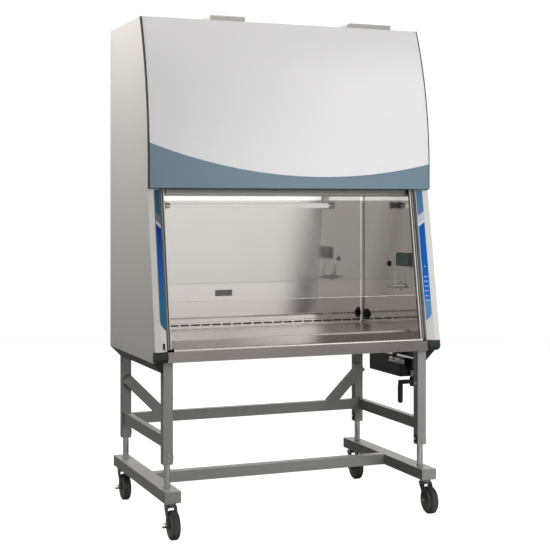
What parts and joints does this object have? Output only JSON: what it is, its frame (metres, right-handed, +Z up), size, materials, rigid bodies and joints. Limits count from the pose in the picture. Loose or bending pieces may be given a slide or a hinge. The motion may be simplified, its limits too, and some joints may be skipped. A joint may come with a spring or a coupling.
{
  "type": "biosafety cabinet",
  "caption": "Biosafety cabinet with a sliding glass sash, curved hinged hood and stainless work chamber on a height-adjustable stand with braked casters.",
  "frame": {"origin": "centre of the footprint at floor level", "axes": "+X to the user's right, +Y from the user towards the back, +Z up"},
  "size_m": [1.379, 0.9284, 2.314],
  "materials": {
    "stand_paint": "satin grey paint",
    "rod_chrome": "polished chrome plate",
    "black_steel": "satin black paint",
    "caster_plate": "zinc plated",
    "black_plastic": "moulded, fine texture",
    "cabinet_paint": "warm grey powder coat",
    "stainless": "brushed stainless",
    "overlay_blue": "printed polyester film",
    "track_black": "black extrusion",
    "sash_pane": "clear safety glass",
    "weight_iron": "rough cast",
    "hood_paint": "off-white powder coat",
    "band_paint": "slate blue satin paint",
    "seal_rubber": "black rubber",
    "hinge_steel": "plain steel",
    "lamp_tube": "clear quartz tube",
    "cover_teal": "glossy teal",
    "filter_pack": "pleated filter medium in a frame",
    "fan_steel": "galvanised sheet",
    "fork_steel": "black plated steel",
    "hub_grey": "grey nylon",
    "tread": "black rubber"
  },
  "bodies": {
    "base": {"feet": "stand_paint", "lower_rail": "stand_paint", "lift_rods": "rod_chrome", "caster_stems": "caster_plate"},
    "cabinet": {"leg_tubes": "stand_paint", "rod_guides": "black_plastic", "mid_rails": "stand_paint", "diagonal_braces": "stand_paint", "base_rails": "black_steel", "lift_pump": "black_steel", "left_side_panel": "cabinet_paint", "right_side_panel": "cabinet_paint", "back_panel": "cabinet_paint", "top_panel": "cabinet_paint", "drain_pan": "stainless", "front_sill": "stainless", "liner": "stainless", "diffuser": "stainless", "front_posts": "cabinet_paint", "post_caps": "black_plastic", "left_overlay": "overlay_blue", "control_panel": "overlay_blue", "sash_tracks": "track_black", "hood_hinges": "hinge_steel", "uv_lamp": "lamp_tube", "lamp_holders": "black_plastic", "outlet": "black_plastic", "service_valve": "rod_chrome", "port_plugs": "black_plastic", "hepa_filters": "filter_pack", "blower_housing": "fan_steel", "exhaust_guard": "cabinet_paint", "service_box": "cabinet_paint"},
    "crank": {"crank": "black_steel"},
    "grip": {"crank_grip": "black_plastic"},
    "sash": {"sash_glass": "sash_pane"},
    "balance": {"counterweights": "weight_iron"},
    "hood": {"hood_panel": "hood_paint", "hood_band": "band_paint", "hood_seals": "seal_rubber"},
    "work_top": {"work_surface": "stainless"},
    "outlet_lid": {"outlet_cover": "cover_teal"},
    "valve_handle": {"valve_lever": "rod_chrome"},
    "fan": {"blower_wheel": "fan_steel"},
    "front_left_swivel": {"front_left_fork": "fork_steel"},
    "front_left_wheel": {"front_left_hub": "hub_grey", "front_left_tyre": "tread"},
    "front_left_brake": {"front_left_pedal": "fork_steel"},
    "front_right_swivel": {"front_right_fork": "fork_steel"},
    "front_right_wheel": {"front_right_hub": "hub_grey", "front_right_tyre": "tread"},
    "front_right_brake": {"front_right_pedal": "fork_steel"},
    "rear_left_swivel": {"rear_left_fork": "fork_steel"},
    "rear_left_wheel": {"rear_left_hub": "hub_grey", "rear_left_tyre": "tread"},
    "rear_left_brake": {"rear_left_pedal": "fork_steel"},
    "rear_right_swivel": {"rear_right_fork": "fork_steel"},
    "rear_right_wheel": {"rear_right_hub": "hub_grey", "rear_right_tyre": "tread"},
    "rear_right_brake": {"rear_right_pedal": "fork_steel"}
  },
  "joints": [
    {"name": "cabinet_lift", "type": "slide", "parent": "base", "child": "cabinet", "axis": [0, 0, 1], "range_m": [-0.095, 0.155]},
    {"name": "crank_turn", "type": "hinge", "parent": "cabinet", "child": "crank", "pos_m": [0.657, -0.16775, 0.6], "axis": [0, 0, 1], "range_deg": [-2900, 4700]},
    {"name": "grip_spin", "type": "hinge", "parent": "crank", "child": "grip", "pos_m": [0.589, -0.16775, 0.525], "axis": [0, 0, 1], "continuous": true},
    {"name": "sash_slide", "type": "slide", "parent": "cabinet", "child": "sash", "axis": [0, 0.1669, 0.986], "range_m": [-0.188, 0.295]},
    {"name": "balance_slide", "type": "slide", "parent": "cabinet", "child": "balance", "axis": [0, 0, 1], "range_m": [-0.3, 0.19]},
    {"name": "hood_swing", "type": "hinge", "parent": "cabinet", "child": "hood", "pos_m": [0, -0.10617, 2.259], "axis": [-1, 0, 0], "range_deg": [0, 60]},
    {"name": "work_top_lift", "type": "hinge", "parent": "cabinet", "child": "work_top", "pos_m": [0, 0.27425, 0.833], "axis": [-1, 0, 0], "range_deg": [0, 11.5]},
    {"name": "outlet_lid_swing", "type": "hinge", "parent": "cabinet", "child": "outlet_lid", "pos_m": [0.5924, -0.18075, 1.194], "axis": [0, 1, 0], "range_deg": [0, 110]},
    {"name": "valve_turn", "type": "hinge", "parent": "cabinet", "child": "valve_handle", "pos_m": [0.5697, -0.14505, 1.036], "axis": [0, -1, 0], "range_deg": [0, 90]},
    {"name": "fan_spin", "type": "hinge", "parent": "cabinet", "child": "fan", "pos_m": [0, 0.09425, 1.807], "axis": [1, 0, 0], "continuous": true},
    {"name": "front_left_swivel_turn", "type": "hinge", "parent": "base", "child": "front_left_swivel", "pos_m": [-0.6185, -0.36175, 0.14], "axis": [0, 0, 1], "continuous": true},
    {"name": "front_left_wheel_roll", "type": "hinge", "parent": "front_left_swivel", "child": "front_left_wheel", "pos_m": [-0.6185, -0.40175, 0.0625], "axis": [1, 0, 0], "continuous": true},
    {"name": "front_left_brake_step", "type": "hinge", "parent": "front_left_swivel", "child": "front_left_brake", "pos_m": [-0.6568, -0.40175, 0.0625], "axis": [1, 0, 0], "range_deg": [-15, 0]},
    {"name": "front_right_swivel_turn", "type": "hinge", "parent": "base", "child": "front_right_swivel", "pos_m": [0.6185, -0.36175, 0.14], "axis": [0, 0, 1], "continuous": true},
    {"name": "front_right_wheel_roll", "type": "hinge", "parent": "front_right_swivel", "child": "front_right_wheel", "pos_m": [0.6185, -0.40175, 0.0625], "axis": [1, 0, 0], "continuous": true},
    {"name": "front_right_brake_step", "type": "hinge", "parent": "front_right_swivel", "child": "front_right_brake", "pos_m": [0.5802, -0.40175, 0.0625], "axis": [1, 0, 0], "range_deg": [-15, 0]},
    {"name": "rear_left_swivel_turn", "type": "hinge", "parent": "base", "child": "rear_left_swivel", "pos_m": [-0.6185, 0.42625, 0.14], "axis": [0, 0, 1], "continuous": true},
    {"name": "rear_left_wheel_roll", "type": "hinge", "parent": "rear_left_swivel", "child": "rear_left_wheel", "pos_m": [-0.6185, 0.38625, 0.0625], "axis": [1, 0, 0], "continuous": true},
    {"name": "rear_left_brake_step", "type": "hinge", "parent": "rear_left_swivel", "child": "rear_left_brake", "pos_m": [-0.6568, 0.38625, 0.0625], "axis": [1, 0, 0], "range_deg": [-15, 0]},
    {"name": "rear_right_swivel_turn", "type": "hinge", "parent": "base", "child": "rear_right_swivel", "pos_m": [0.6185, 0.42625, 0.14], "axis": [0, 0, 1], "continuous": true},
    {"name": "rear_right_wheel_roll", "type": "hinge", "parent": "rear_right_swivel", "child": "rear_right_wheel", "pos_m": [0.6185, 0.38625, 0.0625], "axis": [1, 0, 0], "continuous": true},
    {"name": "rear_right_brake_step", "type": "hinge", "parent": "rear_right_swivel", "child": "rear_right_brake", "pos_m": [0.5802, 0.38625, 0.0625], "axis": [1, 0, 0], "range_deg": [-15, 0]}
  ],
  "couplings": [
    {"joint": "crank_turn", "follows": "cabinet_lift", "rad_per_m": 523.6},
    {"joint": "balance_slide", "follows": "sash_slide", "ratio": -1}
  ]
}
